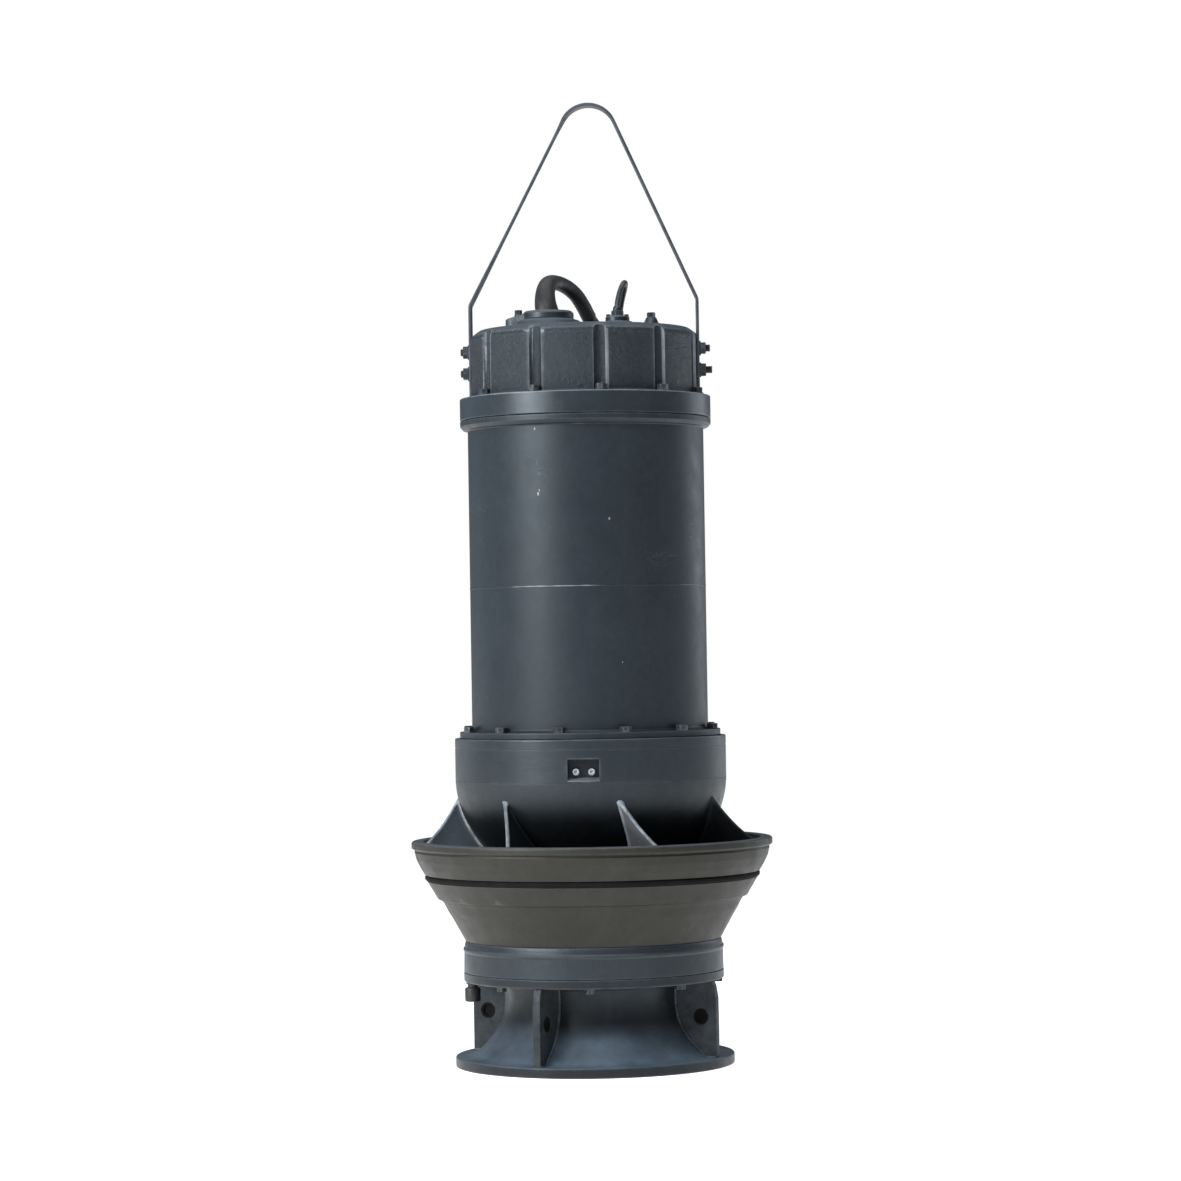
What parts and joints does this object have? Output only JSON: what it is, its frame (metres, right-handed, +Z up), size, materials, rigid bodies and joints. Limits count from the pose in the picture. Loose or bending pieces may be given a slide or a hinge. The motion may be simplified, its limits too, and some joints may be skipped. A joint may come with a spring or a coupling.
{
  "type": "submersible mixed-flow column pump",
  "caption": "Submersible mixed-flow pump on a ribbed suction bell, with vaned diffuser, tubular motor housing, bolted cover, strap lifting bail and two supply cables.",
  "frame": {"origin": "centre of the base flange's underside, on the shaft axis", "axes": "+Z up along the shaft axis, -Y the front that the picture shows, +X to the right"},
  "size_m": [0.577, 0.955, 1.5353],
  "materials": {
    "housing_paint": "satin dark blue-grey paint",
    "cast_paint": "painted rough casting",
    "bolt_steel": "dark bolts",
    "bare_steel": "machined",
    "black_rubber": "matte",
    "bronze": "machined",
    "core_steel": "laminated",
    "copper": "varnished",
    "carbide": "lapped"
  },
  "bodies": {
    "housing": {"suction_bell": "cast_paint", "bell_rib_1": "cast_paint", "bell_rib_2": "cast_paint", "bell_rib_3": "cast_paint", "bell_rib_4": "cast_paint", "impeller_casing": "cast_paint", "wear_ring": "bronze", "diffuser_casing": "cast_paint", "seat_o_ring": "black_rubber", "diffuser_hub": "cast_paint", "guide_vane_1": "cast_paint", "guide_vane_2": "cast_paint", "guide_vane_3": "cast_paint", "guide_vane_4": "cast_paint", "guide_vane_5": "cast_paint", "guide_vane_6": "cast_paint", "guide_vane_7": "cast_paint", "oil_chamber": "cast_paint", "oil_plug_1": "bare_steel", "oil_plug_2": "bare_steel", "motor_shell": "housing_paint", "motor_cover": "cast_paint", "lifting_bail": "housing_paint", "bail_bolt_1": "bolt_steel", "bail_bolt_2": "bolt_steel", "bail_bolt_3": "bolt_steel", "bail_bolt_4": "bolt_steel", "power_gland_body": "cast_paint", "power_gland_clamp": "cast_paint", "power_cable_boot": "black_rubber", "power_cable": "black_rubber", "power_cable_coil": "black_rubber", "power_cable_cap": "black_rubber", "control_gland_body": "cast_paint", "control_gland_nut": "cast_paint", "control_cable": "black_rubber", "control_cable_coil": "black_rubber", "control_cable_cap": "black_rubber", "vent_plug": "bolt_steel", "drain_plug": "bolt_steel", "stator_core": "core_steel", "winding_upper": "copper", "winding_lower": "copper", "upper_bearing_outer": "bare_steel", "lower_bearing_outer": "bare_steel", "upper_bearing_bracket": "cast_paint", "lower_bearing_bracket": "cast_paint", "seal_plate": "cast_paint", "mech_seal_seat": "carbide"},
    "rotor": {"shaft": "bare_steel", "rotor_core": "core_steel", "impeller": "bronze", "impeller_nut": "bronze", "upper_bearing_inner": "bare_steel", "lower_bearing_inner": "bare_steel", "mech_seal_rotor": "carbide"},
    "upper_cage": {"upper_bearing_cage": "bronze"},
    "lower_cage": {"lower_bearing_cage": "bronze"}
  },
  "joints": [
    {"name": "rotor_spin", "type": "hinge", "parent": "housing", "child": "rotor", "pos_m": [0, 0, 0.2], "axis": [0, 0, 1], "continuous": true},
    {"name": "upper_cage_spin", "type": "hinge", "parent": "housing", "child": "upper_cage", "pos_m": [0, 0, 1.0275], "axis": [0, 0, 1], "continuous": true},
    {"name": "lower_cage_spin", "type": "hinge", "parent": "housing", "child": "lower_cage", "pos_m": [0, 0, 0.5155], "axis": [0, 0, 1], "continuous": true}
  ],
  "couplings": [
    {"joint": "upper_cage_spin", "follows": "rotor_spin", "ratio": 0.4},
    {"joint": "lower_cage_spin", "follows": "rotor_spin", "ratio": 0.4}
  ]
}
